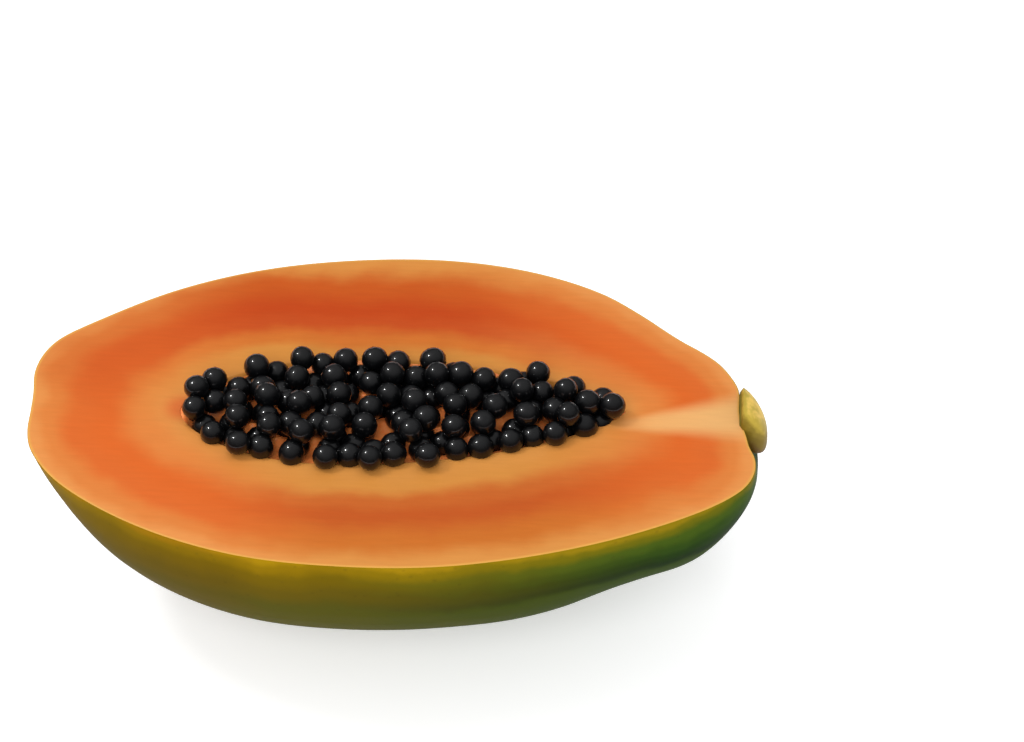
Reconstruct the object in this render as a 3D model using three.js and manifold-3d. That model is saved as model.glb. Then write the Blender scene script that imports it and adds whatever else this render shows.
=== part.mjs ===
// Half of a ripe papaya, cut lengthwise, with its skin on, its seed cavity heaped with seeds and the stub of
// the fruit stalk still on one end.
// Millimetres. X runs along the fruit from the blossom end to the stalk, Z is up and the cut face looks up.
// The pieces are shaped with Z = 0 on the cut face, and the last lines stand them on the ground.
import * as THREE from "three";
import { ParametricGeometry } from "three/addons/geometries/ParametricGeometry.js";
import { mergeVertices } from "three/addons/utils/BufferGeometryUtils.js";
import Module from "manifold-3d";

const wasm = await Module();
wasm.setup();

// Fruit
const halfLength = 92;
const farRadius = 55.2; // core line to the far side, on the cut face
const nearRadius = 57.2;
const underRadius = 58.2; // core line to the lowest point of the skin
const ribDepth = 0.014; // of the radius: five soft ribs run along a papaya
const ribCount = 5;
const restSlice = 0.7; // what is pressed flat where the fruit stands
const fruitStations = 48;
const fruitSides = 48;

// Seed cavity: an outline on the cut face and a bowl under it. The four powers say how full its curves are.
const cavityWidest = -10; // along the fruit, where the cavity is widest
const cavityToBlossom = 44.5;
const cavityToStalk = 71.5;
const cavityHalfWidth = 20.5;
const cavityDepth = 23;
const cavityCentreAside = -3.3; // across the fruit, at the widest place
const cavityDrift = 0.05; // how far the centre line moves aside for each millimetre along
const cavityLip = 0.35; // the rolled lip starts this far over the cut face
const blossomPower = 0.6; // outline towards the blossom, blunt
const stalkPower = 0.74; // outline towards the stalk, pointed
const depthPower = 0.85; // depth against width along the fruit
const bowlPower = 1.25; // section across
const cavityStations = 32;
const cavitySides = 26;

// Seeds
const seedRadius = 3.3;
const seedPitch = 6.6;
const rowPitch = 0.88 * seedPitch; // staggered rows lie closer than the seeds in a row
const rowReach = 0.86; // of the cavity's half width
const moundHeight = 2.6; // middles of the top seeds over the cut face
const seedStray = { along: 2, aside: 1.4, lift: 1.8 }; // how far a seed is out of line, from end to end
const heapLengthShare = 0.97; // the heap's outline is the cavity's, drawn in a little
const heapWidthShare = 0.94;
const heapStations = 74;
const heapSides = 38;
const heapUnderShare = 0.16; // of the steps round the heap, those that go to the wall under it

// Stalk stub
const stubRadius = 7.6;
const stubHeight = 7.3;
const stubFoot = { x: 0.956 * halfLength, y: 2.2, z: -2.4 }; // the middle of its foot
const stubLean = 3.4; // how far its tip leans down, and as far towards the near side
const stubLeanPower = 1.3; // over 1, so that the stub curves
const stubRidges = 5;
const stubRidgeDepth = 0.03; // of the radius
const stubSides = 26;
const stubRings = 9;

const touchGap = 0.3; // clearance between pieces that touch
const seedGap = 2.5 * touchGap; // the seeds lie looser than that on the cavity's wall
const sharedWithin = 1e-3; // corners closer than this are one

// Three lines from the blossom end to the stalk end on the skin: [share of the half length, share of the
// radius on that side]. The far and near ones are the cut face's two edges, the third runs underneath.
const farLine = [
  [-0.978, 0], [-0.993, 0.145], [-0.957, 0.308], [-0.848, 0.471], [-0.62, 0.73], [-0.337, 0.913],
  [0.054, 1], [0.348, 0.944], [0.576, 0.792], [0.696, 0.625], [0.772, 0.496], [0.87, 0.384],
  [0.939, 0.217], [0.952, 0.072], [0.952, 0],
];
const nearLine = [
  [-0.978, 0], [-0.97, 0.14], [-0.963, 0.332], [-0.902, 0.498], [-0.783, 0.664], [-0.576, 0.846],
  [-0.326, 0.967], [-0.033, 1], [0.217, 0.97], [0.511, 0.851], [0.761, 0.682], [0.935, 0.507],
  [0.996, 0.385], [1.002, 0.245], [0.967, 0.122], [0.952, 0],
];
const underLine = [
  [-0.978, 0], [-0.935, 0.1], [-0.861, 0.385], [-0.814, 0.545], [-0.735, 0.711], [-0.607, 0.849],
  [-0.461, 0.939], [-0.291, 0.991], [-0.024, 1], [0.208, 0.967], [0.378, 0.925], [0.508, 0.86],
  [0.624, 0.772], [0.735, 0.709], [0.847, 0.654], [0.93, 0.533], [0.997, 0.354], [1.028, 0.175],
  [0.999, 0.063], [0.952, 0],
];

// A closed geometry as a solid: vertices shared, and the triangles that shrink to nothing at a pole left out.
function solidOf(geometry) {
  geometry.deleteAttribute("normal");
  geometry.deleteAttribute("uv");
  const merged = mergeVertices(geometry, sharedWithin);
  const corners = merged.index.array;
  const kept = [];
  for (let i = 0; i < corners.length; i += 3) {
    const [a, b, c] = corners.subarray(i, i + 3);
    if (a !== b && b !== c && c !== a) kept.push(a, b, c);
  }
  const vertProperties = merged.attributes.position.array;
  return new wasm.Manifold(new wasm.Mesh({ numProp: 3, vertProperties, triVerts: new Uint32Array(kept) }));
}

function geometryOf(solid) {
  const mesh = solid.getMesh();
  const geometry = new THREE.BufferGeometry();
  geometry.setAttribute("position", new THREE.BufferAttribute(mesh.vertProperties, 3));
  geometry.setIndex(new THREE.BufferAttribute(mesh.triVerts, 1));
  geometry.computeVertexNormals();
  return geometry;
}

function skinLine(points, radius) {
  const corners = points.map(([along, out]) => new THREE.Vector3(along * halfLength, out * radius, 0));
  return new THREE.CatmullRomCurve3(corners, false, "centripetal");
}

// The whole fruit. Round the core line the skin passes from the near line through the one underneath to the
// far line, and the part over the cut face mirrors the part under it.
function wholeFruit() {
  const far = skinLine(farLine, farRadius);
  const near = skinLine(nearLine, nearRadius);
  const under = skinLine(underLine, underRadius);
  const side = new THREE.Vector3();
  const below = new THREE.Vector3();
  const skin = (around, along, target) => {
    const turn = around * 2 * Math.PI;
    const belowShare = Math.abs(Math.sin(turn));
    (Math.cos(turn) > 0 ? near : far).getPointAt(along, side);
    under.getPointAt(along, below);
    side.lerp(below, belowShare);
    const rib = 1 + ribDepth * belowShare * Math.cos(ribCount * turn);
    target.set(side.x, -side.y * rib * Math.cos(turn), -side.y * rib * Math.sin(turn));
  };
  return solidOf(new ParametricGeometry(skin, fruitSides, fruitStations));
}

function box(width, depth, height, x, y, z) {
  return solidOf(new THREE.BoxGeometry(width, depth, height).translate(x, y, z));
}

const cavityMiddle = (along) => cavityCentreAside + cavityDrift * (along - cavityWidest);

// Half width of the cavity at a place along the fruit.
function cavityHalf(along) {
  const toBlossom = along < cavityWidest;
  const share = (along - cavityWidest) / (toBlossom ? cavityToBlossom : cavityToStalk);
  return cavityHalfWidth * Math.pow(Math.max(0, 1 - share * share), toBlossom ? blossomPower : stalkPower);
}

// Height of the cavity's wall: a bowl across, as deep as its width there asks for, with a soft lip. aside
// runs from -1 to 1 across the cavity.
function cavityFloor(along, aside) {
  const deep = cavityDepth * Math.pow(cavityHalf(along) / cavityHalfWidth, depthPower);
  const bowl = Math.pow(Math.max(0, 1 - aside * aside), bowlPower);
  return cavityLip - (deep + cavityLip) * bowl;
}

// Place along the cavity for a share of its length, stepping closer together near the two tips.
function cavityStation(share) {
  const eased = (1 - Math.cos(Math.PI * share)) / 2;
  return cavityWidest - cavityToBlossom + ((cavityToBlossom + cavityToStalk) * (share + eased)) / 2;
}

// What the cavity takes out of the flesh, domed over the cut face.
function cavityTool() {
  const domeHeight = 12;
  const shape = (around, share, target) => {
    const along = cavityStation(share);
    const turn = around * 2 * Math.PI;
    const aside = -Math.cos(turn);
    const dome = cavityLip - domeHeight * Math.sin(turn) * (cavityHalf(along) / cavityHalfWidth);
    const height = Math.sin(turn) > 0 ? cavityFloor(along, aside) : dome;
    target.set(along, cavityMiddle(along) + aside * cavityHalf(along), height);
  };
  return solidOf(new ParametricGeometry(shape, cavitySides, cavityStations));
}

// A repeatable number from -0.5 to 0.5 for each whole number, with the steps of a fast wave.
function scatter(index) {
  const wavePitch = 12.9898;
  const waveHeight = 43758.5453;
  const wave = Math.sin(index * wavePitch) * waveHeight;
  return wave - Math.floor(wave) - 0.5;
}

// Middles of the seeds that show: staggered rows across the cavity, each seed a little out of line.
function seedPlaces() {
  const places = [];
  const tipGap = 1.5 * seedRadius;
  const first = cavityWidest - cavityToBlossom + tipGap;
  const last = cavityWidest + cavityToStalk - tipGap;
  for (let along = first, row = 0; along <= last; along += rowPitch, row += 1) {
    const reach = rowReach * cavityHalf(along);
    const count = Math.max(1, Math.round((2 * reach) / seedPitch + (row % 2)));
    for (let i = 0; i < count; i += 1) {
      const seed = places.length;
      const spread = count > 1 ? (2 * i) / (count - 1) - 1 : 0;
      places.push({
        x: along + scatter(seed) * seedStray.along,
        y: cavityMiddle(along) + spread * reach + scatter(seed + 500) * seedStray.aside,
        lift: scatter(seed + 900) * seedStray.lift,
      });
    }
  }
  return places;
}

// The heap of seeds as one body: the cavity's own wall below, and above it a low mound with a round bump for
// each seed that shows.
function seedHeap() {
  const bumpPower = 0.6; // near 0.5, a ball's own
  const riseShare = 0.4; // the bumps have their full height past this share of the way in from the outline
  const seeds = seedPlaces();
  const wallHeight = (x, y) => cavityFloor(x, (y - cavityMiddle(x)) / cavityHalf(x)) + seedGap;
  const bumpHeight = (x, y) => {
    let top = 0;
    for (const seed of seeds) {
      const apart = ((x - seed.x) ** 2 + (y - seed.y) ** 2) / seedRadius ** 2;
      if (apart < 1) top = Math.max(top, seed.lift + seedRadius * Math.pow(1 - apart, bumpPower));
    }
    return top;
  };
  const shape = (around, share, target) => {
    const station = cavityStation(share);
    const x = cavityWidest + heapLengthShare * (station - cavityWidest);
    const reach = heapWidthShare * cavityHalf(station);
    const below = around <= heapUnderShare;
    const across = below ? around / heapUnderShare : (1 - around) / (1 - heapUnderShare);
    const aside = below ? -Math.cos(Math.PI * across) : 2 * across - 1;
    const y = cavityMiddle(x) + aside * reach;
    const edge = wallHeight(x, cavityMiddle(x) + reach);
    const inward = Math.sqrt(Math.max(0, 1 - aside * aside) * Math.sin(Math.PI * share));
    const mound = edge + (moundHeight - edge) * inward + bumpHeight(x, y) * Math.min(1, inward / riseShare);
    target.set(x, y, below ? wallHeight(x, y) : mound);
  };
  return solidOf(new ParametricGeometry(shape, heapSides, heapStations));
}

// The stub of the stalk: a short blunt cone with a rounded end and a few soft ridges, drooping to one side.
// With a clearance it is the seat that the fruit has for it.
function stalkStub(clearance) {
  const shares = [[1, 0.12], [0.9, 0.42], [0.66, 0.75], [0.34, 0.95]]; // of the radius, of the height
  const outline = new THREE.SplineCurve([
    new THREE.Vector2(stubRadius + clearance, -clearance),
    ...shares.map(([out, up]) => new THREE.Vector2(stubRadius * out + clearance, stubHeight * up)),
    new THREE.Vector2(0, stubHeight + clearance),
  ]);
  const profile = [new THREE.Vector2(0, -clearance), ...outline.getPoints(stubRings)];
  const geometry = new THREE.LatheGeometry(profile, stubSides);
  const place = geometry.attributes.position;
  for (let i = 0; i < place.count; i += 1) {
    const [across, out, over] = [place.getX(i), place.getY(i), place.getZ(i)];
    const ridge = 1 + stubRidgeDepth * Math.cos(stubRidges * Math.atan2(over, across));
    const lean = stubLean * Math.pow(Math.max(0, out) / stubHeight, stubLeanPower);
    place.setXYZ(i, out, -across * ridge - lean, over * ridge - lean);
  }
  return solidOf(geometry.translate(stubFoot.x, stubFoot.y, stubFoot.z));
}

// Flesh and skin in one: the fruit without its far half, its cavity, the stub's seat and a thin slice off
// the lowest place, where it stands flat.
function papayaBody() {
  const [long, wide, high] = [4 * halfLength, 4 * nearRadius, 2 * underRadius]; // blocks past the fruit
  const knife = box(long, wide, high, 0, 0, high / 2);
  const ground = box(long, wide, high, 0, 0, restSlice - underRadius - high / 2);
  return wholeFruit().subtract(knife).subtract(ground).subtract(cavityTool()).subtract(stalkStub(touchGap));
}

function piece(name, solid, finish) {
  const mesh = new THREE.Mesh(geometryOf(solid), new THREE.MeshStandardMaterial(finish));
  mesh.name = name;
  return mesh;
}

const papayaHalf = new THREE.Group();
papayaHalf.add(piece("flesh_and_skin", papayaBody(), { color: 0xe0813f, roughness: 0.45, metalness: 0 }));
papayaHalf.add(piece("seed_heap", seedHeap(), { color: 0x17171a, roughness: 0.15, metalness: 0 }));
papayaHalf.add(piece("stalk_stub", stalkStub(0), { color: 0xb9ab4a, roughness: 0.6, metalness: 0 }));

// The origin goes to the middle of the underside.
const extent = new THREE.Box3().setFromObject(papayaHalf);
const middle = extent.getCenter(new THREE.Vector3());
papayaHalf.position.set(-middle.x, -middle.y, -extent.min.z);

export default papayaHalf;
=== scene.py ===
import math
import random

import bmesh
import bpy
import numpy as np
from mathutils import Matrix, Vector, noise
from mathutils.kdtree import KDTree


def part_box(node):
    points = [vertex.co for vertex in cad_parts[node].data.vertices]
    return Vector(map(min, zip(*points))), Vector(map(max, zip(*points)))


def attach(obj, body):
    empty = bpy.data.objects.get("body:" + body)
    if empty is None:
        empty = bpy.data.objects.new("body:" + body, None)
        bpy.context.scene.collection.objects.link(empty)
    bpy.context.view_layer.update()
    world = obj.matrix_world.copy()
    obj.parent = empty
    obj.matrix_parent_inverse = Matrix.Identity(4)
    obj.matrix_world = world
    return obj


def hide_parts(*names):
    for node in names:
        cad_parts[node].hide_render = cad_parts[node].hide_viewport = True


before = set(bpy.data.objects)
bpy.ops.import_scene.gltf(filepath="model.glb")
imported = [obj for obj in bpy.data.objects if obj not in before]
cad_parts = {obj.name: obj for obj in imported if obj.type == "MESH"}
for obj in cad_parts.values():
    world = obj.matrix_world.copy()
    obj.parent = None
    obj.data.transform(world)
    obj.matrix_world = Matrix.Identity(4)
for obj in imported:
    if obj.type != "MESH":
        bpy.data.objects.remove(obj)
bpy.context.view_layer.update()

mm = 0.001
fleshLow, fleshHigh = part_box("flesh_and_skin")
cutHeight = fleshHigh.z  # the flat cut face


def linear(hexColour):
    def channel(value):
        share = value / 255
        return share / 12.92 if share <= 0.04045 else ((share + 0.055) / 1.055) ** 2.4

    number = int(hexColour.lstrip("#"), 16)
    return (channel(number >> 16), channel(number >> 8 & 255), channel(number & 255), 1.0)


def addNode(nodes, kind, inputs=None, **settings):
    # a node with its settings, and for each input a value or the output that feeds it
    node = nodes.new("ShaderNode" + kind)
    for name, value in settings.items():
        setattr(node, name, value)
    for name, value in (inputs or {}).items():
        if isinstance(value, bpy.types.NodeSocket):
            nodes.id_data.links.new(value, node.inputs[name])
        else:
            node.inputs[name].default_value = value
    return node


def fillRamp(node, stops, longest=1.0):
    # colours at their places along the ramp, eased between them
    ramp = node.color_ramp
    ramp.interpolation = "EASE"
    while len(ramp.elements) < len(stops):
        ramp.elements.new(0.5)
    for element, (place, colour) in zip(ramp.elements, stops):
        element.position = place / longest
        element.color = linear(colour)
    return node.outputs["Color"]


def newMaterial(name):
    material = bpy.data.materials.new(name)
    material.use_nodes = True
    material.node_tree.nodes.clear()
    return material


def select(*objects):
    bpy.ops.object.select_all(action="DESELECT")
    for thing in objects:
        thing.select_set(True)
        bpy.context.view_layer.objects.active = thing


def applyModifier(piece, kind, **settings):
    select(piece)
    modifier = piece.modifiers.new(kind.title(), kind)
    for name, value in settings.items():
        setattr(modifier, name, value)
    bpy.ops.object.modifier_apply(modifier=modifier.name)


def editSelect(piece, wanted, kind="faces"):
    # selects, in edit mode, what the test says, by its place or normal
    grid = bmesh.from_edit_mesh(piece.data)
    bpy.ops.mesh.select_all(action="DESELECT")
    for part in getattr(grid, kind):
        if wanted(part):
            part.select_set(True)
    grid.select_flush_mode()
    bmesh.update_edit_mesh(piece.data)


# the cavity: its outline on the cut face and the bowl under it
cavity = {
    "widest": -12.0 * mm,  # along the fruit
    "middle": -2.3 * mm,  # across, at the widest place
    "drift": 0.05,  # the centre line's slant
    "toBlossom": 42.0 * mm,
    "toStalk": 69.5 * mm,
    "halfWidth": 19.5 * mm,
    "blossomPower": 0.6,  # below 1: the smaller, the blunter
    "stalkPower": 0.74,
    "depth": 23 * mm,
    "depthPower": 0.85,  # depth against width along the fruit
    "roll": 1.5,  # over 1: how softly the lip rolls in
}


def cavityMiddle(x):
    return cavity["middle"] + cavity["drift"] * (x - cavity["widest"])


def cavityHalf(x):
    # blunt towards the blossom end, pointed towards the stalk
    toBlossom = x < cavity["widest"]
    share = (x - cavity["widest"]) / cavity["toBlossom" if toBlossom else "toStalk"]
    power = cavity["blossomPower" if toBlossom else "stalkPower"]
    return cavity["halfWidth"] * max(0.0, 1 - share * share) ** power


def cavityAside(x, y):
    # -1 to 1 across the cavity
    half = cavityHalf(x)
    return (y - cavityMiddle(x)) / half if half > 0 else 1.0


def cavityPoint(turn, scale=1.0):
    # a point of the outline drawn in by scale, for a turn round the cavity from its stalk end
    low, high = -cavity["toBlossom"], cavity["toStalk"]
    x = cavity["widest"] + low + (high - low) * (1 + math.cos(turn)) / 2
    out = cavityHalf(x) * (1 if math.sin(turn) >= 0 else -1)
    x = cavity["widest"] + scale * (x - cavity["widest"])
    return x, cavityMiddle(x) + scale * out


def cavityFloor(x, y):
    deep = cavity["depth"] * (cavityHalf(x) / cavity["halfWidth"]) ** cavity["depthPower"]
    return cutHeight - deep * max(0.0, 1 - cavityAside(x, y) ** 2) ** cavity["roll"]


def inCavity(x, y):
    return abs(cavityAside(x, y)) < 1


def inBowl(x, y, z):
    # on the bowl's wall, with a millimetre to spare
    return inCavity(x, y) and z > cutHeight - cavity["depth"] - 1 * mm


# flesh and skin
body = {
    "segments": 112,
    "rings": 56,
    "faceRings": 28,
    "bowlRings": 12,
    "rimBevel": 0.3 * mm,
    "sag": 0.45 * mm,  # how far the flesh sinks beside the cavity
    "sagWidth": 4 * mm,
    "waver": 0.12 * mm,  # height of the knife's waves on the cut face
    "waveLength": 14 * mm,
    "seatRadius": 10.5 * mm,  # the hollow at the stalk is smoothed out to here
    "seatRounds": 16,
    "dent": 5.4 * mm,  # and pressed in by this much
    "dentWidth": 8.5 * mm,
    "dentMiddle": 1.5 * mm,
}


def skinOnly():
    # a copy of the model's fruit without its cut face and cavity, to press the new mesh against
    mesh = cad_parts["flesh_and_skin"].data.copy()
    mould = bpy.data.objects.new("mould", mesh)
    bpy.context.collection.objects.link(mould)
    select(mould)
    bpy.ops.object.mode_set(mode="EDIT")
    bpy.ops.mesh.select_all(action="SELECT")
    bpy.ops.mesh.remove_doubles(threshold=0.002 * mm)

    def inner(face):
        place = face.calc_center_median()
        return place.z > cutHeight - 0.01 * mm or inBowl(*place)

    editSelect(mould, inner)
    bpy.ops.mesh.delete(type="FACE")
    bpy.ops.object.mode_set(mode="OBJECT")
    return mould


def loopOrder(edges):
    # vertices of one closed loop of edges, in order
    edges = set(edges)
    edge = next(iter(edges))
    order = [edge.verts[0], edge.verts[1]]
    edges.discard(edge)
    while edges:
        follow = [e for e in order[-1].link_edges if e in edges]
        if not follow:
            break
        edges.discard(follow[0])
        order.append(follow[0].other_vert(order[-1]))
    return order[:-1] if order[0] == order[-1] else order


def smoothSeat(piece):
    # the model has a round pocket for the stub: here the skin runs on under it in a soft hollow
    foot = stubFoot()
    select(piece)
    bpy.ops.object.mode_set(mode="EDIT")
    bpy.ops.mesh.select_mode(type="VERT")
    editSelect(piece, lambda v: v.co.x > 0 and (v.co - foot).yz.length < body["seatRadius"], "verts")
    bpy.ops.mesh.vertices_smooth(factor=0.5, repeat=body["seatRounds"])
    bpy.ops.object.mode_set(mode="OBJECT")
    grid = bmesh.new()
    grid.from_mesh(piece.data)
    for vertex in grid.verts:
        if vertex.co.x > 0:
            away = math.hypot(vertex.co.y - body["dentMiddle"], vertex.co.z - cutHeight) / body["dentWidth"]
            vertex.co.x -= body["dent"] * math.exp(-away * away)
        if vertex.is_boundary:
            vertex.co.z = cutHeight
    grid.to_mesh(piece.data)
    grid.free()


def makeBody():
    mould = skinOnly()
    middle = (fleshLow + fleshHigh) / 2
    size = (fleshHigh - fleshLow) / 2
    bpy.ops.object.select_all(action="DESELECT")
    bpy.ops.mesh.primitive_uv_sphere_add(segments=body["segments"], ring_count=body["rings"], radius=1)
    piece = bpy.context.object
    piece.name = piece.data.name = "papaya_flesh_and_skin"
    piece.location = (middle.x, middle.y, cutHeight)
    piece.scale = (size.x, size.y, cutHeight)
    bpy.ops.object.transform_apply(location=True, rotation=False, scale=True)
    bpy.ops.object.mode_set(mode="EDIT")
    bpy.ops.mesh.select_all(action="SELECT")
    bpy.ops.mesh.bisect(
        plane_co=(0, 0, cutHeight), plane_no=(0, 0, 1), clear_outer=True, threshold=0.01 * mm)
    bpy.ops.object.mode_set(mode="OBJECT")
    applyModifier(piece, "SHRINKWRAP", target=mould, wrap_method="NEAREST_SURFACEPOINT")
    bpy.data.objects.remove(mould)
    smoothSeat(piece)
    applyModifier(piece, "SUBSURF", levels=2, render_levels=2, boundary_smooth="ALL")

    # the cut face: the rim is drawn in, ring by ring, to the cavity's outline
    piece.data.materials.append(papayaSkin())
    piece.data.materials.append(papayaFlesh())
    select(piece)
    bpy.ops.object.mode_set(mode="EDIT")
    bpy.ops.mesh.select_mode(type="VERT")
    grid = bmesh.from_edit_mesh(piece.data)
    rimLine = [v.co.copy() for v in loopOrder([e for e in grid.edges if e.is_boundary])]

    def spot(place):
        return tuple(round(c / mm, 3) for c in place)

    # every point of the rim has its own goal on the outline, at the same turn, so no two lines cross
    goals = {}
    for place in rimLine:
        turn = math.atan2((place.y - middle.y) / size.y, (place.x - middle.x) / size.x)
        goals[spot(place)] = Vector((*cavityPoint(turn), cutHeight))
    editSelect(piece, lambda edge: edge.is_boundary, "edges")
    for ringsLeft in range(body["faceRings"] + 1, 0, -1):
        bpy.ops.mesh.extrude_edges_move()
        grid = bmesh.from_edit_mesh(piece.data)
        reached = {}
        for vertex in grid.verts:
            if vertex.select:
                goal = goals[spot(vertex.co)]
                vertex.co = vertex.co.lerp(goal, 1 / ringsLeft)
                reached[spot(vertex.co)] = goal
        goals = reached
        bmesh.update_edit_mesh(piece.data)

    # the bowl: the outline again and again, each time drawn in and let down
    editSelect(piece, lambda edge: edge.is_boundary, "edges")
    steps = body["bowlRings"]
    drawnIn = [math.cos(math.pi / 2 * step / (steps + 0.6)) for step in range(steps + 1)]
    for previous, scale in zip(drawnIn, drawnIn[1:]):
        bpy.ops.mesh.extrude_edges_move()
        grid = bmesh.from_edit_mesh(piece.data)
        for vertex in grid.verts:
            if vertex.select:
                x = cavity["widest"] + (vertex.co.x - cavity["widest"]) * scale / previous
                y = cavityMiddle(x) + (vertex.co.y - cavityMiddle(vertex.co.x)) * scale / previous
                vertex.co = (x, y, cavityFloor(x, y))
        bmesh.update_edit_mesh(piece.data)
    bpy.ops.mesh.merge(type="CENTER")
    bpy.ops.mesh.select_all(action="SELECT")
    bpy.ops.mesh.normals_make_consistent(inside=False)

    # the rim keeps a fine round where the knife left the skin
    atRim = {spot(place) for place in rimLine}
    editSelect(piece, lambda edge: all(spot(v.co) in atRim for v in edge.verts), "edges")
    bpy.ops.mesh.bevel(offset=body["rimBevel"], segments=3, profile=0.5, affect="EDGES")
    bpy.ops.object.mode_set(mode="OBJECT")
    markPlaces(piece, rimLine)
    bpy.ops.object.shade_smooth_by_angle(angle=math.radians(50))
    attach(piece, "root")
    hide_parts("flesh_and_skin")
    print("flesh and skin:", len(piece.data.polygons), "faces")


def closedLine(points, step):
    # the same closed line with points at even small steps
    points = np.array(points + points[:1])
    runs = np.r_[0, np.cumsum(np.linalg.norm(np.diff(points, axis=0), axis=1))]
    places = np.arange(0, runs[-1], step)
    return np.column_stack([np.interp(places, runs, points[:, i]) for i in range(2)])


def treeOf(line):
    tree = KDTree(len(line))
    for i, (x, y) in enumerate(line):
        tree.insert((x, y, 0), i)
    tree.balance()
    return tree


def markPlaces(piece, rimLine):
    # wallShare is 0 at the cavity and 1 at the skin, and below 0 inside the cavity. The cut face sinks a
    # little beside the cavity and carries the knife's faint waves.
    rim = treeOf(closedLine([(p.x, p.y) for p in rimLine], 0.1 * mm))
    outline = treeOf(closedLine([cavityPoint(2 * math.pi * i / 720) for i in range(720)], 0.1 * mm))
    mesh = piece.data
    fleshVertices = set()
    for face in mesh.polygons:
        x, y, z = face.center
        onFace = face.normal.z > 0.9 and z > cutHeight - 1.2 * body["rimBevel"]
        face.material_index = 1 if inBowl(x, y, z) or onFace else 0
        if face.material_index == 1:
            fleshVertices.update(face.vertices)
    share = mesh.attributes.new("wallShare", "FLOAT", "POINT")
    for vertex in mesh.vertices:
        x, y, z = vertex.co
        toRim = rim.find((x, y, 0))[2]
        toCavity = outline.find((x, y, 0))[2]
        inside = inCavity(x, y)
        wall = -toCavity / (10 * mm) if inside else toCavity / (toCavity + toRim)
        share.data[vertex.index].value = wall
        if vertex.index in fleshVertices:
            away = min(1.0, toRim / (3 * mm))  # nothing moves at the rim
            near = 1.0 if inside else math.exp(-toCavity / body["sagWidth"])
            wave = noise.noise(Vector((x, y, 0)) / body["waveLength"]) * body["waver"]
            vertex.co.z += away * (wave - body["sag"] * near)


skin = {
    # millimetres under the cut, and the colour there; the darkening downwards is partly painted shade of the
    # underside
    "ripe": ((0, "#9a780a"), (2.2, "#836606"), (6.5, "#685306"), (11.5, "#5b4b0a"), (19.5, "#4b470e")),
    "brown": ((0, "#8a6408"), (3.0, "#765c06"), (6.5, "#665006"), (13.5, "#58470a"), (20, "#50440c")),
    "green": ((0, "#86700e"), (2.5, "#625f0c"), (5.5, "#3d5112"), (9.5, "#2a410e"), (13, "#1d330a"),
        (16.5, "#152809"), (20.5, "#2c3e0c")),
    "deepest": 24.0,
    "turnsGreen": (-35 * mm, 76 * mm),  # along the fruit, towards the stalk
    "turnsBrown": (-22 * mm, -50 * mm),  # and towards the blossom end
    "blotch": 20 * mm,
    "uneven": 2.2 * mm,  # how far the blotches push the colours up and down
    "unevenAlong": 3.0,  # times as far along the fruit
    "freckle": 3.2 * mm,  # apart; real ones are nearer and too fine to show
    "freckleColour": "#3a3010",
    "roughness": 0.5,
    "specular": 0.01,  # nearly no shine
}


def papayaSkin():
    # Ripe papaya skin: thin and smooth, with a dull wax that hardly shines. Ochre where it has ripened and
    # Ochre where it has ripened and green at the stalk, with faint freckles, and darker further under the
    # cut, partly as painted shade of the underside.
    material = newMaterial("waxy_papaya_skin")
    nodes = material.node_tree.nodes
    place = addNode(nodes, "TexCoord").outputs["Object"]
    split = addNode(nodes, "SeparateXYZ", {"Vector": place})
    blotch = addNode(nodes, "TexNoise", {
        "Vector": place, "Scale": 1 / skin["blotch"], "Detail": 3.0, "Roughness": 0.55})
    shift = addNode(nodes, "MapRange", {
        "Value": blotch.outputs["Fac"], "From Min": 0.3, "From Max": 0.7,
        "To Min": -skin["uneven"], "To Max": skin["uneven"]})
    height = addNode(nodes, "Math", {0: split.outputs["Z"], 1: shift.outputs["Result"]}, operation="ADD")
    # painted shade: the colours darken with depth under the cut, partly standing in for the underside's
    # shade
    down = addNode(nodes, "MapRange", {
        "Value": height.outputs[0], "From Min": cutHeight, "From Max": cutHeight - skin["deepest"] * mm})
    colours = {}
    for name in ("ripe", "brown", "green"):
        ramp = addNode(nodes, "ValToRGB", {"Fac": down.outputs["Result"]})
        colours[name] = fillRamp(ramp, skin[name], skin["deepest"])
    along = addNode(nodes, "Math", {
        0: shift.outputs["Result"], 1: skin["unevenAlong"], 2: split.outputs["X"]}, operation="MULTIPLY_ADD")
    towardsStalk = addNode(nodes, "MapRange", {
        "Value": along.outputs[0], "From Min": skin["turnsGreen"][0], "From Max": skin["turnsGreen"][1]},
        interpolation_type="SMOOTHSTEP")
    towardsBlossom = addNode(nodes, "MapRange", {
        "Value": along.outputs[0], "From Min": skin["turnsBrown"][0], "From Max": skin["turnsBrown"][1]},
        interpolation_type="SMOOTHSTEP")
    warm = addNode(nodes, "Mix", {
        0: towardsBlossom.outputs["Result"], 6: colours["ripe"], 7: colours["brown"]}, data_type="RGBA")
    mottled = addNode(nodes, "Mix", {
        0: towardsStalk.outputs["Result"], 6: warm.outputs[2], 7: colours["green"]}, data_type="RGBA")
    spots = addNode(nodes, "TexVoronoi", {
        "Vector": place, "Scale": 1 / skin["freckle"], "Randomness": 1.0}, feature="F1")
    freckle = addNode(nodes, "MapRange", {
        "Value": spots.outputs["Distance"], "From Min": 0.08, "From Max": 0.2, "To Min": 0.16,
        "To Max": 0.0})
    colour = addNode(nodes, "Mix", {
        0: freckle.outputs["Result"], 6: mottled.outputs[2], 7: linear(skin["freckleColour"])},
        data_type="RGBA")
    grain = addNode(nodes, "TexNoise", {"Vector": place, "Scale": 1 / (1.6 * mm), "Detail": 2.0})
    bump = addNode(nodes, "Bump", {"Height": grain.outputs["Fac"], "Strength": 0.12, "Distance": 0.15 * mm})
    surface = addNode(nodes, "BsdfPrincipled", {
        "Base Color": colour.outputs[2], "Roughness": skin["roughness"], "IOR": 1.45,
        "Specular IOR Level": skin["specular"], "Normal": bump.outputs["Normal"]})
    addNode(nodes, "OutputMaterial", {"Surface": surface.outputs["BSDF"]})
    return material


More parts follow.
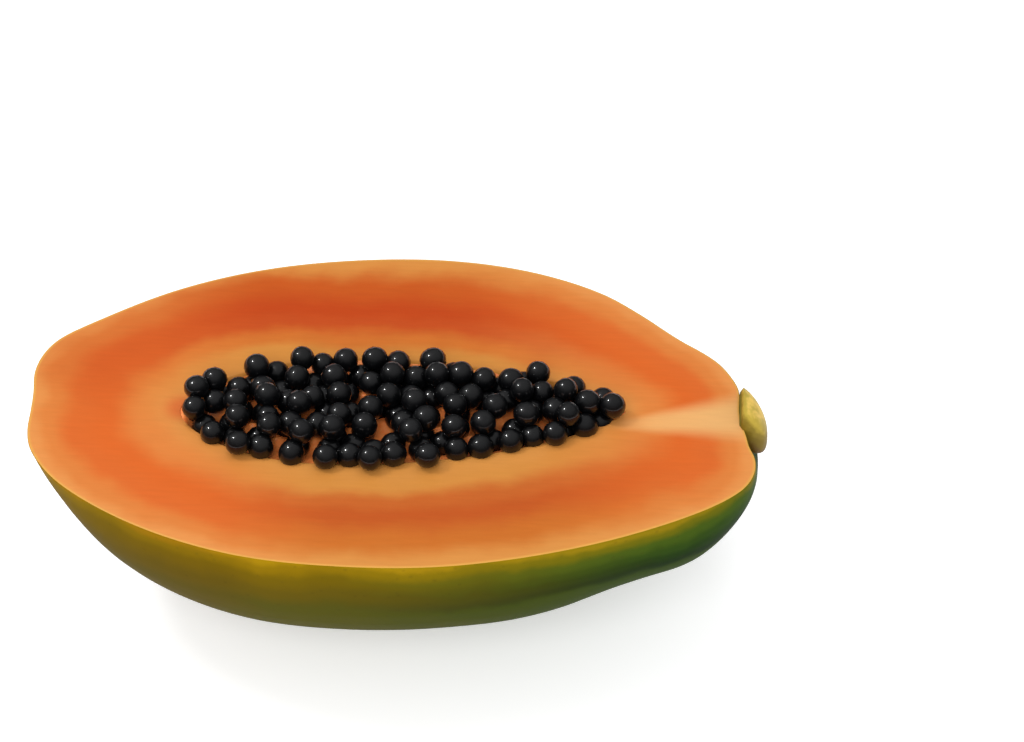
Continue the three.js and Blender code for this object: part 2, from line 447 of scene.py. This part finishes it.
flesh = {
    # share of the way from the cavity to the skin, and the colour there
    "farSide": ((0.03, "#c88338"), (0.16, "#c46a26"), (0.33, "#b74715"), (0.47, "#b4400d"),
        (0.7, "#ba5115"), (0.97, "#cb853c")),
    "nearSide": ((0.04, "#cd8a42"), (0.2, "#c8843a"), (0.38, "#ba5d22"), (0.52, "#b5511a"),
        (0.76, "#be6722"), (0.97, "#cd8840")),
    "ends": ((0.0, "#d58a43"), (0.25, "#d27a37"), (0.5, "#cf6020"), (0.68, "#ce6224"),
        (0.86, "#d07836"), (0.98, "#d68946")),
    "blossomEnd": (22 * mm, 62 * mm),  # the end colours come in over this stretch
    "farShare": 0.55,  # and only in part on the far side
    "stalkEnd": (18 * mm, 72 * mm),
    "slant": 0.35,  # earlier on one side than on the other
    "sides": (-16 * mm, 12 * mm),  # across, from the near side's colours to the far side's
    "swings": (-14 * mm, -46 * mm),  # over this stretch the far side's deep band swings out to the skin
    "swing": -0.15,
    "coreStart": "#e0a160",  # the pale cord from the cavity to the stalk
    "core": "#dba566",
    "cordBegins": (50 * mm, 66 * mm),  # along the fruit
    "cordPales": (60 * mm, 80 * mm),
    "cordWidens": (56 * mm, 86 * mm),
    "cordWidth": (2.2 * mm, 9.5 * mm),
    "cordMiddle": (-3.9 * mm, 0.6 * mm),
    # painted shade: the redder orange down in the cavity and round its blunt tip
    "cavity": "#d0602a",
    "tip": (-53.5 * mm, -4 * mm),  # the cavity's blunt tip
    "tipShade": (1.5 * mm, 6.5 * mm),  # from full to none, away from it
    # painted highlight: the pale yellow line along the cut edge
    "rim": "#d6a04a",
    "fibre": 1.1 * mm,  # between fibres; real ones are half as far apart
    "roughness": 0.38,
}


def papayaFlesh():
    # Ripe papaya flesh cut with a knife: moist and smooth, so it has a broad soft gleam. Pale at the skin,
    # deep red-orange halfway in, yellow-orange again at the cavity, with a pale cord of fibres to the stalk.
    material = newMaterial("moist_papaya_flesh")
    nodes = material.node_tree.nodes
    place = addNode(nodes, "TexCoord").outputs["Object"]
    split = addNode(nodes, "SeparateXYZ", {"Vector": place})
    share = addNode(nodes, "Attribute", attribute_name="wallShare").outputs["Fac"]
    cloud = addNode(nodes, "TexNoise", {"Vector": place, "Scale": 1 / (11 * mm), "Detail": 2.0})
    shift = addNode(nodes, "MapRange", {
        "Value": cloud.outputs["Fac"], "From Min": 0.3, "From Max": 0.7, "To Min": -0.035, "To Max": 0.035})
    wall = addNode(nodes, "Math", {0: share, 1: shift.outputs["Result"]}, operation="ADD").outputs[0]
    swing = addNode(nodes, "MapRange", {
        "Value": split.outputs["X"], "From Min": flesh["swings"][0], "From Max": flesh["swings"][1],
        "To Min": 0.0, "To Max": flesh["swing"]}, interpolation_type="SMOOTHSTEP")
    swung = addNode(nodes, "Math", {0: wall, 1: swing.outputs["Result"]}, operation="ADD")
    farSide = fillRamp(addNode(nodes, "ValToRGB", {"Fac": swung.outputs[0]}), flesh["farSide"])
    nearSide = fillRamp(addNode(nodes, "ValToRGB", {"Fac": wall}), flesh["nearSide"])
    ends = fillRamp(addNode(nodes, "ValToRGB", {"Fac": wall}), flesh["ends"])
    across = addNode(nodes, "MapRange", {
        "Value": split.outputs["Y"], "From Min": flesh["sides"][0], "From Max": flesh["sides"][1]},
        interpolation_type="SMOOTHSTEP")
    sides = addNode(nodes, "Mix", {0: across.outputs["Result"], 6: nearSide, 7: farSide}, data_type="RGBA")
    aslant = addNode(nodes, "Math", {
        0: split.outputs["Y"], 1: flesh["slant"], 2: split.outputs["X"]}, operation="MULTIPLY_ADD")
    towardsStalk = addNode(nodes, "MapRange", {
        "Value": aslant.outputs[0], "From Min": flesh["stalkEnd"][0], "From Max": flesh["stalkEnd"][1]},
        interpolation_type="SMOOTHSTEP")
    towardsBlossom = addNode(nodes, "MapRange", {
        "Value": aslant.outputs[0], "From Min": -flesh["blossomEnd"][0],
        "From Max": -flesh["blossomEnd"][1]}, interpolation_type="SMOOTHSTEP")
    inPart = addNode(nodes, "MapRange", {
        "Value": across.outputs["Result"], "To Min": 1.0, "To Max": flesh["farShare"]})
    atBlossom = addNode(nodes, "Math", {
        0: towardsBlossom.outputs["Result"], 1: inPart.outputs["Result"]}, operation="MULTIPLY")
    end = addNode(nodes, "Math", {
        0: towardsStalk.outputs["Result"], 1: atBlossom.outputs[0]}, operation="MAXIMUM")
    zones = addNode(nodes, "Mix", {0: end.outputs[0], 6: sides.outputs[2], 7: ends}, data_type="RGBA")

    # the pale cord: it starts at the cavity's tip and widens towards the stalk
    spans = {}
    for name in ("cordWidth", "cordMiddle"):
        spans[name] = addNode(nodes, "MapRange", {
            "Value": split.outputs["X"], "From Min": flesh["cordWidens"][0],
            "From Max": flesh["cordWidens"][1], "To Min": flesh[name][0], "To Max": flesh[name][1]})
    offLine = addNode(nodes, "Math", {
        0: split.outputs["Y"], 1: spans["cordMiddle"].outputs["Result"]}, operation="SUBTRACT")
    offShare = addNode(nodes, "Math", {
        0: offLine.outputs[0], 1: spans["cordWidth"].outputs["Result"]}, operation="DIVIDE")
    offSize = addNode(nodes, "Math", {0: offShare.outputs[0]}, operation="ABSOLUTE")
    inCord = addNode(nodes, "MapRange", {
        "Value": offSize.outputs[0], "From Min": 1.15, "From Max": 0.25}, interpolation_type="SMOOTHSTEP")
    begun = addNode(nodes, "MapRange", {
        "Value": split.outputs["X"], "From Min": flesh["cordBegins"][0], "From Max": flesh["cordBegins"][1]},
        interpolation_type="SMOOTHSTEP")
    cord = addNode(nodes, "Math", {
        0: inCord.outputs["Result"], 1: begun.outputs["Result"]}, operation="MULTIPLY")
    cordShade = addNode(nodes, "MapRange", {
        "Value": split.outputs["X"], "From Min": flesh["cordPales"][0], "From Max": flesh["cordPales"][1]})
    cordColour = addNode(nodes, "Mix", {
        0: cordShade.outputs["Result"], 6: linear(flesh["coreStart"]), 7: linear(flesh["core"])},
        data_type="RGBA")
    withCord = addNode(nodes, "Mix", {
        0: cord.outputs[0], 6: zones.outputs[2], 7: cordColour.outputs[2]}, data_type="RGBA")

    # painted shade: redder down inside the cavity and round its blunt tip; and a painted highlight, a thin
    # pale yellow line along the rim under the skin
    tip = addNode(nodes, "VectorMath", {0: place, 1: (*flesh["tip"], cutHeight)}, operation="DISTANCE")
    atTip = addNode(nodes, "MapRange", {
        "Value": tip.outputs["Value"], "From Min": flesh["tipShade"][0], "From Max": flesh["tipShade"][1],
        "To Min": 0.75, "To Max": 0.0}, interpolation_type="SMOOTHSTEP")
    inside = addNode(nodes, "MapRange", {
        "Value": share, "From Min": -0.15, "From Max": -0.5}, interpolation_type="SMOOTHSTEP")
    # painted shade of the hollow and of its tip
    cavityShade = addNode(nodes, "Math", {
        0: atTip.outputs["Result"], 1: inside.outputs["Result"]}, operation="MAXIMUM")
    withCavityShade = addNode(nodes, "Mix", {
        0: cavityShade.outputs[0], 6: withCord.outputs[2], 7: linear(flesh["cavity"])}, data_type="RGBA")
    # painted highlight: a thin pale line along the rim
    atRim = addNode(nodes, "MapRange", {
        "Value": share, "From Min": 0.972, "From Max": 0.992, "To Max": 0.8},
        interpolation_type="SMOOTHSTEP")
    withRimHighlight = addNode(nodes, "Mix", {
        0: atRim.outputs["Result"], 6: withCavityShade.outputs[2], 7: linear(flesh["rim"])}, data_type="RGBA")

    # faint fibres run along the fruit
    drawn = addNode(nodes, "Mapping", {"Vector": place, "Scale": (0.12, 1.0, 0.5)})
    fibres = addNode(nodes, "TexNoise", {
        "Vector": drawn.outputs["Vector"], "Scale": 1 / flesh["fibre"], "Detail": 3.0, "Roughness": 0.6})
    tone = addNode(nodes, "MapRange", {
        "Value": fibres.outputs["Fac"], "From Min": 0.25, "From Max": 0.75, "To Min": 0.965,
        "To Max": 1.035})
    colour = addNode(nodes, "VectorMath", {
        0: withRimHighlight.outputs[2], "Scale": tone.outputs["Result"]}, operation="SCALE")
    grain = addNode(nodes, "TexNoise", {"Vector": place, "Scale": 1 / (0.9 * mm), "Detail": 2.0})
    bump = addNode(nodes, "Bump", {"Height": grain.outputs["Fac"], "Strength": 0.25, "Distance": 0.08 * mm})
    surface = addNode(nodes, "BsdfPrincipled", {
        "Base Color": colour.outputs["Vector"], "Roughness": flesh["roughness"], "IOR": 1.36,
        "Specular IOR Level": 0.22, "Normal": bump.outputs["Normal"]})
    addNode(nodes, "OutputMaterial", {"Surface": surface.outputs["BSDF"]})
    return material


# pulp: the soft bed in the cavity that the seeds lie on
pulp = {
    "segments": 128,
    "rings": 64,
    "depth": 4.2 * mm,  # under the cut face, in the middle
    "edgeDepth": 0.5 * mm,
    "fit": 1.03,  # of the cavity's outline
    "rise": 0.35 * mm,  # how much fuller it is than where the seeds roll
    "fillFrom": (-48.5 * mm, 53 * mm),  # beyond these places the tips of the cavity are nearly filled
    "fillOver": 4 * mm,
    "tuckFrom": 0.93,  # of the way out: from here its edge goes down under the flesh
    "tuck": 0.6 * mm,
    "buried": 0.4 * mm,  # how deep its underside lies in the bowl's wall
    "thinnest": 0.2 * mm,
    "lump": 0.5 * mm,
    "lumpSize": 2.6 * mm,
    "tufts": 16,  # where the pulp stands up between the seeds
    "tuftStart": 4,
    "tuftTries": 4000,
    "tuftReach": (55 * mm, 16 * mm),  # along and across
    "tuftInset": (9 * mm, 6 * mm),  # from the heap's near edge and its far edge
    "tuftPeak": 1.6,  # times its rise is how high a tuft is drawn
    "tuftGap": 7.5 * mm,
    "tuftRise": 1.5 * mm,
    "tuftWidth": 2.0 * mm,
    "colour": "#fb8440",
    "paleColour": "#ffab60",
}


def lumps(x, y):
    # a smooth uneven height from -1 to 1
    u, v = x / pulp["lumpSize"], y / pulp["lumpSize"]
    return math.sin(u * 0.9 + 1.3 * math.sin(v * 0.7)) * math.cos(v * 0.8 - 0.6 * math.sin(u * 0.55))


def bedHeight(x, y):
    inward = max(0.0, 1 - cavityAside(x, y) ** 2)
    fall = (pulp["depth"] - pulp["edgeDepth"]) * min(1.0, inward * 1.6) ** 0.9
    return cutHeight - pulp["edgeDepth"] - fall + lumps(x, y) * pulp["lump"] * min(1.0, 3 * inward)


def dropPlace(chance, reach):
    # somewhere over the cavity, a little to the near side
    x = chance.uniform(-1, 1) * reach[0] + cavity["widest"] + seeds["dropMiddle"][0]
    return x, cavityMiddle(x) + chance.uniform(-1, 1) * reach[1] + seeds["dropMiddle"][1]


def tuftPlaces():
    chance = random.Random(pulp["tuftStart"])
    nearInset, farInset = pulp["tuftInset"]
    places = []
    for attempt in range(pulp["tuftTries"]):
        if len(places) == pulp["tufts"]:
            break
        x, y = dropPlace(chance, pulp["tuftReach"])
        covered = inHeap(x, y) and inHeap(x, y - nearInset) and inHeap(x, y + farInset)
        if covered and all(math.hypot(x - px, y - py) > pulp["tuftGap"] for px, py, pz in places):
            places.append((x, y, bedHeight(x, y) + pulp["tuftRise"]))
    return places


def makePulp(tufts):
    bpy.ops.object.select_all(action="DESELECT")
    bpy.ops.mesh.primitive_uv_sphere_add(segments=pulp["segments"], ring_count=pulp["rings"], radius=1)
    piece = bpy.context.object
    piece.name = piece.data.name = "cavity_pulp"
    for vertex in piece.data.vertices:
        u, v, w = vertex.co
        reach = min(1.0, math.hypot(u, v))
        x, y = cavityPoint(math.atan2(v, u), reach * pulp["fit"])
        tuft = sum(
            math.exp(-((x - px) ** 2 + (y - py) ** 2) / pulp["tuftWidth"] ** 2) for px, py, pz in tufts)
        tuck = max(0.0, (reach - pulp["tuckFrom"]) / (1 - pulp["tuckFrom"])) ** 2
        top = bedHeight(x, y) + min(1.0, tuft) * pulp["tuftPeak"] * pulp["tuftRise"]
        top += pulp["rise"] * min(1.0, 4 * (1 - reach))
        full = max(pulp["fillFrom"][0] - x, x - pulp["fillFrom"][1], 0.0) / pulp["fillOver"]
        top += (cutHeight - pulp["edgeDepth"] - top) * min(1.0, full) ** 1.5
        top -= pulp["tuck"] * tuck
        under = min(cavityFloor(x, y) - pulp["buried"], top - pulp["thinnest"])
        vertex.co = (x, y, top if w >= 0 else under)
    piece.data.materials.append(softPulp())
    select(piece)
    bpy.ops.object.shade_smooth()
    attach(piece, "root")
    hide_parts("seed_heap")
    print("pulp:", len(piece.data.polygons), "faces")


def softPulp():
    # The soft stringy lining that held the seeds: bright orange, and wet, so it glistens.
    material = newMaterial("soft_cavity_pulp")
    nodes = material.node_tree.nodes
    place = addNode(nodes, "TexCoord").outputs["Object"]
    strings = addNode(nodes, "TexNoise", {
        "Vector": place, "Scale": 1 / (1.5 * mm), "Detail": 3.0, "Distortion": 1.2})
    pale = addNode(nodes, "MapRange", {
        "Value": strings.outputs["Fac"], "From Min": 0.35, "From Max": 0.7, "To Max": 0.5})
    colour = addNode(nodes, "Mix", {
        0: pale.outputs["Result"], 6: linear(pulp["colour"]), 7: linear(pulp["paleColour"])},
        data_type="RGBA")
    bump = addNode(nodes, "Bump", {"Height": strings.outputs["Fac"], "Strength": 0.5, "Distance": 0.2 * mm})
    surface = addNode(nodes, "BsdfPrincipled", {
        "Base Color": colour.outputs[2], "Roughness": 0.35, "IOR": 1.36, "Normal": bump.outputs["Normal"]})
    addNode(nodes, "OutputMaterial", {"Surface": surface.outputs["BSDF"]})
    return material


# the seeds, piled on the pulp
seeds = {
    "start": 5,
    "radius": 3.2 * mm,
    "spread": 0.05,  # of the radius, between small and large seeds
    "snug": 0.92,  # how close two seeds lie: their jelly coats give a little
    "sunk": 0.3,  # share of the radius that a rolling seed sinks in the pulp
    "lift": 0.5 * mm,  # the whole heap comes up again by this much, so the lowest seeds show more
    "toBlossom": 38.5 * mm,  # the heap's outline, to the middles of its outermost seeds
    "toStalk": 67.5 * mm,
    "farReach": 14.8 * mm,
    "nearReach": 20.6 * mm,
    "blossomPower": 0.55,  # the heap's ends, blunt and pointed as the cavity's
    "stalkPower": 0.72,
    "mound": 4.6 * mm,  # highest middles over the cut face
    "tries": 2500,
    "dropReach": (60 * mm, 18 * mm),  # along and across
    "dropMiddle": (12 * mm, -2.5 * mm),  # from the cavity's widest place
    "firstStep": 1.6 * mm,  # of its roll, which gets finer as it comes to rest
    "lastStep": 0.1 * mm,
    "clear": 0.5 * mm,  # room kept round a tuft of pulp
    "clearSlope": 43.0,  # the gap over a tuft leans to the near side, degrees
}


def inHeap(x, y):
    share = x - cavity["widest"]
    toBlossom = share < 0
    share /= seeds["toBlossom" if toBlossom else "toStalk"]
    full = max(0.0, 1 - share * share) ** seeds["blossomPower" if toBlossom else "stalkPower"]
    return full > 0 and -seeds["nearReach"] * full <= y - cavityMiddle(x) <= seeds["farReach"] * full


def pileSeeds(tufts):
    # each seed is dropped somewhere over the cavity and rolls down until it rests in a hollow
    chance = random.Random(seeds["start"])
    places = np.zeros((0, 4))
    tufts = np.array(tufts)
    slope = math.radians(seeds["clearSlope"])
    gapLine = np.array([0, -math.cos(slope), math.sin(slope)])

    def restHeight(x, y, radius):
        ground = bedHeight(x, y) if inCavity(x, y) else cutHeight
        top = ground + radius * (1 - seeds["sunk"])
        if len(places):
            reach = (places[:, 3] + radius) * seeds["snug"]
            apart = (places[:, 0] - x) ** 2 + (places[:, 1] - y) ** 2
            near = apart < reach ** 2
            if near.any():
                top = max(top, (places[near, 2] + np.sqrt(reach[near] ** 2 - apart[near])).max())
        return top

    def isClear(x, y, height, radius):
        # off the slanting gap over every tuft
        way = np.array([x, y, height]) - tufts
        along = way @ gapLine
        off = np.linalg.norm(way - along[:, None] * gapLine, axis=1)
        return not ((off < radius + seeds["clear"]) & (along > -radius)).any()

    for attempt in range(seeds["tries"]):
        radius = seeds["radius"] * (1 + seeds["spread"] * chance.uniform(-1, 1))
        x, y = dropPlace(chance, seeds["dropReach"])
        if not inHeap(x, y):
            continue
        height = restHeight(x, y, radius)
        if not isClear(x, y, height, radius):
            continue
        step = seeds["firstStep"]
        while step > seeds["lastStep"]:
            ways = [(x + step * math.cos(turn * math.pi / 4), y + step * math.sin(turn * math.pi / 4))
                for turn in range(8)]
            ways = [(restHeight(px, py, radius), px, py) for px, py in ways if inHeap(px, py)]
            ways = [way for way in ways if isClear(way[1], way[2], way[0], radius)]
            best = min(ways) if ways else (height, x, y)
            if best[0] < height - 0.01 * mm:
                height, x, y = best
            else:
                step *= 0.5
        inward = max(0.0, 1 - cavityAside(x, y) ** 2)
        if height <= cutHeight + seeds["mound"] * min(1.0, 0.5 + inward):
            places = np.vstack([places, (x, y, height, radius)])
    return places


def makeSeeds(tufts):
    places = pileSeeds(tufts)
    chance = random.Random(seeds["start"] + 1)
    bpy.ops.object.select_all(action="DESELECT")
    bpy.ops.mesh.primitive_cube_add(size=2)
    model = bpy.context.object
    bpy.ops.object.mode_set(mode="EDIT")
    bpy.ops.mesh.select_all(action="SELECT")
    bpy.ops.mesh.subdivide(number_cuts=3)
    bpy.ops.transform.tosphere(value=1)
    bpy.ops.object.mode_set(mode="OBJECT")
    model.data.transform(Matrix.Scale(1 / max(v.co.length for v in model.data.vertices), 4))
    copies = []
    for x, y, z, radius in places:
        copy = bpy.data.objects.new("seed", model.data.copy())
        bpy.context.collection.objects.link(copy)
        axis = Vector((chance.uniform(-1, 1), chance.uniform(-1, 1), chance.uniform(-1, 1))).normalized()
        turn = Matrix.Rotation(chance.uniform(0, 2 * math.pi), 4, axis)
        long = 1 + chance.uniform(0, 0.07)
        stretch = Matrix.Diagonal((long * radius, radius, radius, 1))
        copy.data.transform(Matrix.Translation((x, y, z + seeds["lift"])) @ turn @ stretch)
        copies.append(copy)
    bpy.data.objects.remove(model)
    select(*copies)
    bpy.ops.object.join()
    piece = bpy.context.object
    piece.name = piece.data.name = "seeds"
    piece.data.materials.append(wetSeed())
    bpy.ops.object.shade_smooth()
    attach(piece, "root")
    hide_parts("seed_heap")
    print("seeds:", len(places), "with", len(piece.data.polygons), "faces")


def wetSeed():
    # Papaya seed in its jelly coat: black and hard inside, wet and clear outside, so a sharp spot of light
    # lies on a soft grey sheen.
    material = newMaterial("wet_papaya_seed")
    nodes = material.node_tree.nodes
    place = addNode(nodes, "TexCoord").outputs["Object"]
    wrinkle = addNode(nodes, "TexNoise", {"Vector": place, "Scale": 1 / (0.9 * mm), "Detail": 2.0})
    tone = addNode(nodes, "Mix", {
        0: wrinkle.outputs["Fac"], 6: linear("#010102"), 7: linear("#08090b")}, data_type="RGBA")
    bump = addNode(nodes, "Bump", {"Height": wrinkle.outputs["Fac"], "Strength": 0.15, "Distance": 0.2 * mm})
    surface = addNode(nodes, "BsdfPrincipled", {
        "Base Color": tone.outputs[2], "Roughness": 0.42, "IOR": 1.45, "Specular IOR Level": 0.22,
        "Normal": bump.outputs["Normal"], "Coat Weight": 0.9, "Coat Roughness": 0.08, "Coat IOR": 1.4})
    addNode(nodes, "OutputMaterial", {"Surface": surface.outputs["BSDF"]})
    return material


# the stub of the stalk
stub = {
    "sides": 60,
    "radius": 7.6 * mm,
    "height": 7.3 * mm,
    "lean": 3.4 * mm,
    "rings": 14,
    "ridges": 5,
    "ridgeDepth": 0.08,
    "sunk": 3.0 * mm,  # how far its foot goes into the fruit
    "footShare": 0.8,  # of the radius, where the rounded edge of its foot begins
    "footEdge": 0.05 * mm,
    # share of the way up and out from the foot's lower side, and the colour there: painted shade below and
    # painted light above, over the bark's own olive and yellow
    "colours": ((0.0, "#57400c"), (0.3, "#66490c"), (0.5, "#755f16"), (0.62, "#846e20"),
        (0.78, "#b89e3c"), (0.88, "#e6c15c"), (1.0, "#e6c660")),
    "paintedLightOver": (52 * mm, 66 * mm),  # height and reach together
    # painted shade in the crease at the stub's foot
    "creaseShade": "#57641f",
    "creaseShadeReach": 0.6 * mm,
}


def stubFoot():
    # the middle of its round foot, where it leaves the skin
    low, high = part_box("stalk_stub")
    return Vector((low.x, high.y - stub["radius"], high.z - stub["radius"]))


def makeStub():
    foot = stubFoot()
    start = foot - Vector((stub["sunk"], 0, 0))
    bpy.ops.object.select_all(action="DESELECT")
    bpy.ops.mesh.primitive_circle_add(
        vertices=stub["sides"], radius=stub["footShare"] * stub["radius"], fill_type="NGON",
        location=start, rotation=(0, math.pi / 2, 0))
    piece = bpy.context.object
    piece.name = piece.data.name = "stalk_stub_end"
    bpy.ops.object.transform_apply(location=True, rotation=True, scale=True)
    bpy.ops.object.mode_set(mode="EDIT")
    bpy.ops.mesh.select_all(action="SELECT")
    # straight up to the foot, where its back edge is rounded, and then over the dome
    for rise in (stub["sunk"] - stub["footEdge"], stub["footEdge"]):
        bpy.ops.mesh.extrude_region_move(TRANSFORM_OT_translate={"value": (rise, 0, 0)})
    was, wasUp = stub["footShare"], 0.0
    for ring in range(1, stub["rings"] + 1):
        up = math.sin(math.pi / 2 * ring / stub["rings"])
        out = max(0.03, math.cos(math.pi / 2 * ring / stub["rings"]) ** 0.8)
        out *= min(1.0, 0.9 + 0.12 * ring)
        lean = stub["lean"] * (up ** 1.3 - wasUp ** 1.3)
        bpy.ops.mesh.extrude_region_move(TRANSFORM_OT_translate={
            "value": (stub["height"] * (up - wasUp), -lean, -lean)})
        bpy.ops.transform.resize(value=(1, out / was, out / was))
        was, wasUp = out, up
    bpy.ops.mesh.select_all(action="SELECT")
    bpy.ops.mesh.normals_make_consistent(inside=False)
    bpy.ops.object.mode_set(mode="OBJECT")
    # soft ridges run from the foot to the tip
    for vertex in piece.data.vertices:
        up = max(0.0, (vertex.co.x - foot.x) / stub["height"])
        axis = Vector((vertex.co.x, foot.y, foot.z)) - Vector((0, 1, 1)) * stub["lean"] * up ** 1.3
        out = vertex.co - axis
        turn = math.atan2(out.z, out.y)
        ridge = abs(math.cos(stub["ridges"] / 2 * turn + 0.6)) ** 1.5
        vertex.co = axis + out * (1 + stub["ridgeDepth"] * (ridge - 0.5))
        if vertex.co.x < foot.x - 0.02 * mm:
            vertex.co.z = min(vertex.co.z, cutHeight - 0.8 * mm)  # inside the fruit it stays under the cut
    piece.data.materials.append(greenStalk())
    select(piece)
    bpy.ops.object.shade_smooth_by_angle(angle=math.radians(60))
    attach(piece, "root")
    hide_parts("stalk_stub")
    print("stub:", len(piece.data.polygons), "faces")


def greenStalk():
    # The stub of a papaya's fruit stalk: smooth green bark. It is painted darker brown low by its foot as
    # shade, and pale yellow at the top as light.
    foot = stubFoot()
    material = newMaterial("green_stalk_bark")
    nodes = material.node_tree.nodes
    place = addNode(nodes, "TexCoord").outputs["Object"]
    split = addNode(nodes, "SeparateXYZ", {"Vector": place})
    mottle = addNode(nodes, "TexNoise", {"Vector": place, "Scale": 1 / (2.5 * mm), "Detail": 3.0})
    shift = addNode(nodes, "MapRange", {
        "Value": mottle.outputs["Fac"], "From Min": 0.3, "From Max": 0.7, "To Min": -0.8 * mm,
        "To Max": 0.8 * mm})
    height = addNode(nodes, "Math", {0: split.outputs["Z"], 1: shift.outputs["Result"]}, operation="ADD")
    outward = addNode(nodes, "Math", {0: height.outputs[0], 1: split.outputs["X"]}, operation="ADD")
    # painted light and shade: paler up and outward, darker down by the foot
    up = addNode(nodes, "MapRange", {
        "Value": outward.outputs[0], "From Min": foot.x + stub["paintedLightOver"][0],
        "From Max": foot.x + stub["paintedLightOver"][1]})
    barkLitAndShaded = fillRamp(addNode(nodes, "ValToRGB", {"Fac": up.outputs["Result"]}), stub["colours"])
    # painted shade in the crease where the stub leaves the fruit
    nearFoot = addNode(nodes, "MapRange", {
        "Value": split.outputs["X"], "From Min": foot.x + stub["creaseShadeReach"], "From Max": foot.x,
        "To Max": 0.7}, interpolation_type="SMOOTHSTEP")
    colour = addNode(nodes, "Mix", {
        0: nearFoot.outputs["Result"], 6: barkLitAndShaded, 7: linear(stub["creaseShade"])}, data_type="RGBA")
    bump = addNode(nodes, "Bump", {"Height": mottle.outputs["Fac"], "Strength": 0.3, "Distance": 0.2 * mm})
    surface = addNode(nodes, "BsdfPrincipled", {
        "Base Color": colour.outputs[2], "Roughness": 0.5, "IOR": 1.45, "Specular IOR Level": 0.25,
        "Normal": bump.outputs["Normal"]})
    addNode(nodes, "OutputMaterial", {"Surface": surface.outputs["BSDF"]})
    return material


# floor, light and camera
studio = {
    "floorSize": 8.0,
    "floor": "#f9f9f9",
    "floorGlow": 0.35,  # it shines a little itself, as paper on a light table does
    "lamps": {
        "front": {"size": 1.1, "energy": 10.0, "place": (-0.15, -1.1, 0.95), "soft": True, "shine": False},
        "top": {"size": 1.0, "energy": 4.0, "place": (-0.1, 0.35, 1.5), "soft": True, "shine": False},
        "key": {"size": 0.26, "energy": 2.6, "place": (-0.57, 0.09, 0.95), "soft": True, "shine": False},
        # in front of the key lamp: two lamps in one plane hide each other
        "spark": {"size": 0.11, "energy": 4.0, "place": (-0.51, 0.08, 0.85), "soft": False, "shine": True},
    },
    "skyLight": 0.66,
    "skySeen": 1.2,  # what the camera sees past the floor
    "mirrored": (0.02, 0.5),  # what shiny pieces mirror, from the horizon to the zenith
    "cameraPlace": (0.0592, -0.5134, 0.5502),
    "cameraTurn": (47.0, 0.0, 3.36),
    "lens": 100.0,
}


def makeStudio():
    bpy.ops.object.select_all(action="DESELECT")
    bpy.ops.mesh.primitive_plane_add(size=studio["floorSize"])
    floor = bpy.context.object
    floor.name = "floor"
    material = newMaterial("white_paper")
    nodes = material.node_tree.nodes
    surface = addNode(nodes, "BsdfPrincipled", {
        "Base Color": linear(studio["floor"]), "Roughness": 0.9, "Specular IOR Level": 0.1,
        "Emission Color": linear("#ffffff"), "Emission Strength": studio["floorGlow"]})
    addNode(nodes, "OutputMaterial", {"Surface": surface.outputs["BSDF"]})
    floor.data.materials.append(material)

    for name, setup in studio["lamps"].items():
        lamp = bpy.data.lights.new(name, "AREA")
        lamp.shape = "DISK"
        lamp.size = setup["size"]
        lamp.energy = setup["energy"]
        holder = bpy.data.objects.new(name, lamp)
        bpy.context.collection.objects.link(holder)
        holder.location = setup["place"]
        aim = Vector((0, 0, cutHeight)) - holder.location
        holder.rotation_euler = aim.to_track_quat("-Z", "Y").to_euler()
        holder.visible_camera = False
        holder.visible_diffuse = setup["soft"]
        holder.visible_glossy = setup["shine"]

    # a soft bright sky for light, a white one behind the floor, and a dim one in what shines
    world = bpy.data.worlds.new("studio")
    world.use_nodes = True
    nodes = world.node_tree.nodes
    nodes.clear()
    ray = addNode(nodes, "LightPath")
    sky = addNode(nodes, "SeparateXYZ", {"Vector": addNode(nodes, "TexCoord").outputs["Generated"]})
    mirrored = addNode(nodes, "MapRange", {
        "Value": sky.outputs["Z"], "To Min": studio["mirrored"][0], "To Max": studio["mirrored"][1]},
        interpolation_type="SMOOTHSTEP")
    behind = addNode(nodes, "MapRange", {
        "Value": ray.outputs["Is Camera Ray"], "To Min": studio["skyLight"], "To Max": studio["skySeen"]})
    strength = addNode(nodes, "Mix", {
        0: ray.outputs["Is Glossy Ray"], 2: behind.outputs["Result"], 3: mirrored.outputs["Result"]},
        data_type="FLOAT")
    light = addNode(nodes, "Background", {"Color": linear("#fdfdff"), "Strength": strength.outputs[0]})
    addNode(nodes, "OutputWorld", {"Surface": light.outputs["Background"]})
    bpy.context.scene.world = world

    camera = bpy.data.cameras.new("camera")
    camera.lens = studio["lens"]
    camera.sensor_width = 36
    holder = bpy.data.objects.new("camera", camera)
    bpy.context.collection.objects.link(holder)
    holder.location = studio["cameraPlace"]
    holder.rotation_euler = [math.radians(a) for a in studio["cameraTurn"]]
    bpy.context.scene.camera = holder
    bpy.context.scene.view_settings.view_transform = "Standard"
    print("studio: floor, lamps and camera")


tufts = tuftPlaces()
makeBody()
makePulp(tufts)
makeSeeds(tufts)
makeStub()
makeStudio()
